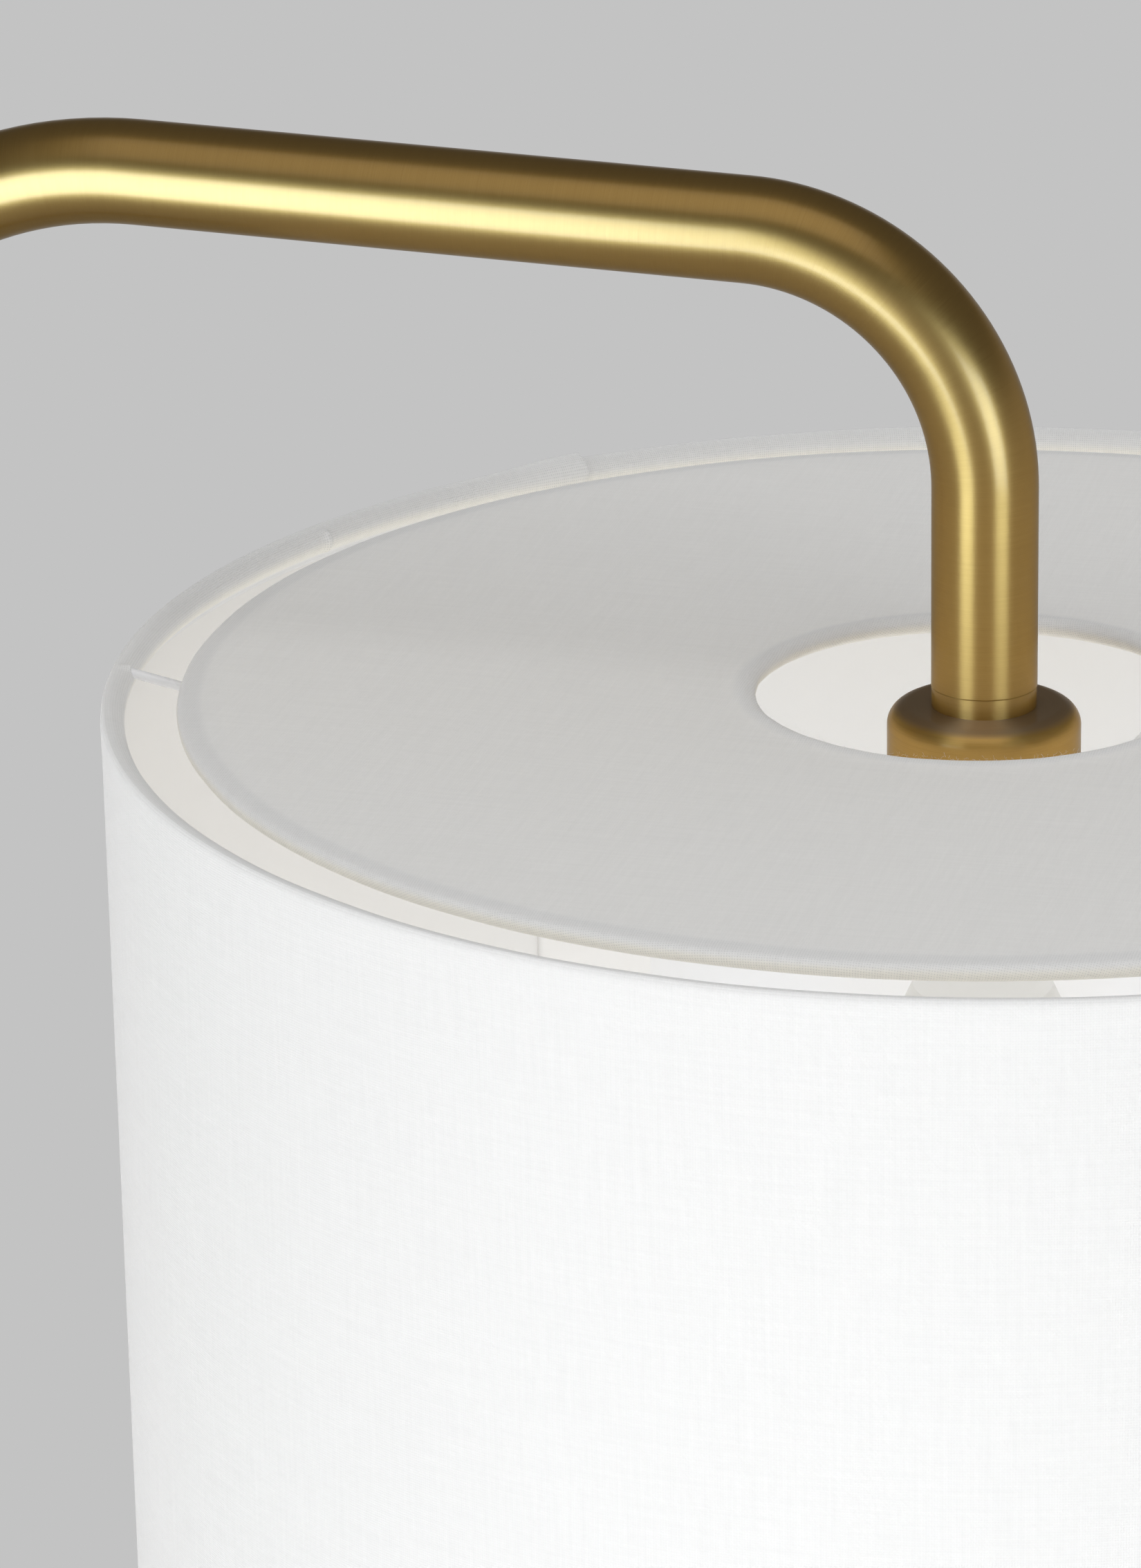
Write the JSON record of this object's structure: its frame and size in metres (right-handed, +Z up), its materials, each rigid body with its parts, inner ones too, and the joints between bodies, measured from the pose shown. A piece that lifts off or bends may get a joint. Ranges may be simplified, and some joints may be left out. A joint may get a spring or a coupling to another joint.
{
  "type": "floor lamp",
  "caption": "Floor lamp with a hooked brass tube arm over a weighted round base, and a straight linen drum shade with a ring diffuser in its top.",
  "frame": {"origin": "underside of the base, under the pole's axis", "axes": "+Z up along the pole, +X from the pole towards the shade"},
  "size_m": [0.6734, 0.424, 1.6502],
  "materials": {
    "brass": "brushed satin, aged",
    "zinc_steel": "zinc plated",
    "cast_iron": "as cast, painted",
    "felt": "pressed felt",
    "rubber": "moulded",
    "lead_sheath": "smooth sheath",
    "black_moulding": "phenolic",
    "porcelain": "glazed",
    "contact_brass": "bright",
    "bulb_nickel": "drawn",
    "bulb_white": "satin",
    "bulb_frost": "frosted",
    "board": "white mask over aluminium",
    "white_moulding": "satin",
    "white_enamel": "enamel",
    "styrene": "satin sheet",
    "linen": "woven linen",
    "linen_hem": "woven linen, rolled"
  },
  "bodies": {
    "stand": {"base_cover": "brass", "pole_collar": "brass", "pole_tube_1": "brass", "pole_tube_2": "brass", "arm_tube": "brass", "ferrule": "brass", "socket_cap": "brass", "base_plate": "zinc_steel", "plate_screws": "zinc_steel", "base_washer": "zinc_steel", "base_nut": "zinc_steel", "base_nipple": "zinc_steel", "terminal_screws": "zinc_steel", "pole_foot_insert_1": "zinc_steel", "pole_top_insert_1": "zinc_steel", "joint_nipple_1": "zinc_steel", "pole_foot_insert_2": "zinc_steel", "pole_top_insert_2": "zinc_steel", "joint_nipple_2": "zinc_steel", "arm_foot_insert": "zinc_steel", "arm_end_insert": "zinc_steel", "head_nipple": "zinc_steel", "head_washer": "zinc_steel", "head_nut": "zinc_steel", "socket_terminals": "zinc_steel", "base_weight": "cast_iron", "felt_pad": "felt", "cord_grommet": "rubber", "inner_lead": "lead_sheath", "terminal_block": "black_moulding", "switch_housing": "black_moulding", "socket_body": "porcelain", "screw_shell": "contact_brass", "centre_contact": "contact_brass"},
    "switch_key": {"switch_stem": "zinc_steel", "switch_knob": "brass"},
    "bulb": {"bulb_cap": "bulb_nickel", "bulb_contact": "contact_brass", "bulb_housing": "bulb_white", "bulb_globe": "bulb_frost", "bulb_board": "board"},
    "ring_nut": {"ring_nut": "white_moulding"},
    "shade": {"fitter_ring": "white_enamel", "spider_spokes": "white_enamel", "top_ring_wire": "white_enamel", "bottom_ring_wire": "white_enamel", "shade_lining": "styrene", "shade_cover": "linen", "top_hem": "linen_hem", "bottom_hem": "linen_hem"},
    "diffuser": {"diffuser_panel": "styrene", "diffuser_fabric": "linen", "diffuser_outer_wire": "white_enamel", "diffuser_outer_hem": "linen_hem", "diffuser_hole_wire": "white_enamel", "diffuser_hole_hem": "linen_hem"}
  },
  "joints": [
    {"name": "switch_turn", "type": "hinge", "parent": "stand", "child": "switch_key", "pos_m": [0.31, 0.024, 1.49605], "axis": [0, 1, 0], "continuous": true},
    {"name": "bulb_unscrew", "type": "slide", "parent": "stand", "child": "bulb", "axis": [0, 0, -1], "range_m": [0, 0.028]},
    {"name": "ring_nut_unscrew", "type": "slide", "parent": "stand", "child": "ring_nut", "axis": [0, 0, -1], "range_m": [0, 0.008]},
    {"name": "shade_turn", "type": "hinge", "parent": "ring_nut", "child": "shade", "pos_m": [0.31, 0, 1.52], "axis": [0, 0, 1], "continuous": true},
    {"name": "diffuser_lift", "type": "slide", "parent": "shade", "child": "diffuser", "axis": [0, 0, 1], "range_m": [0, 0.04]}
  ]
}
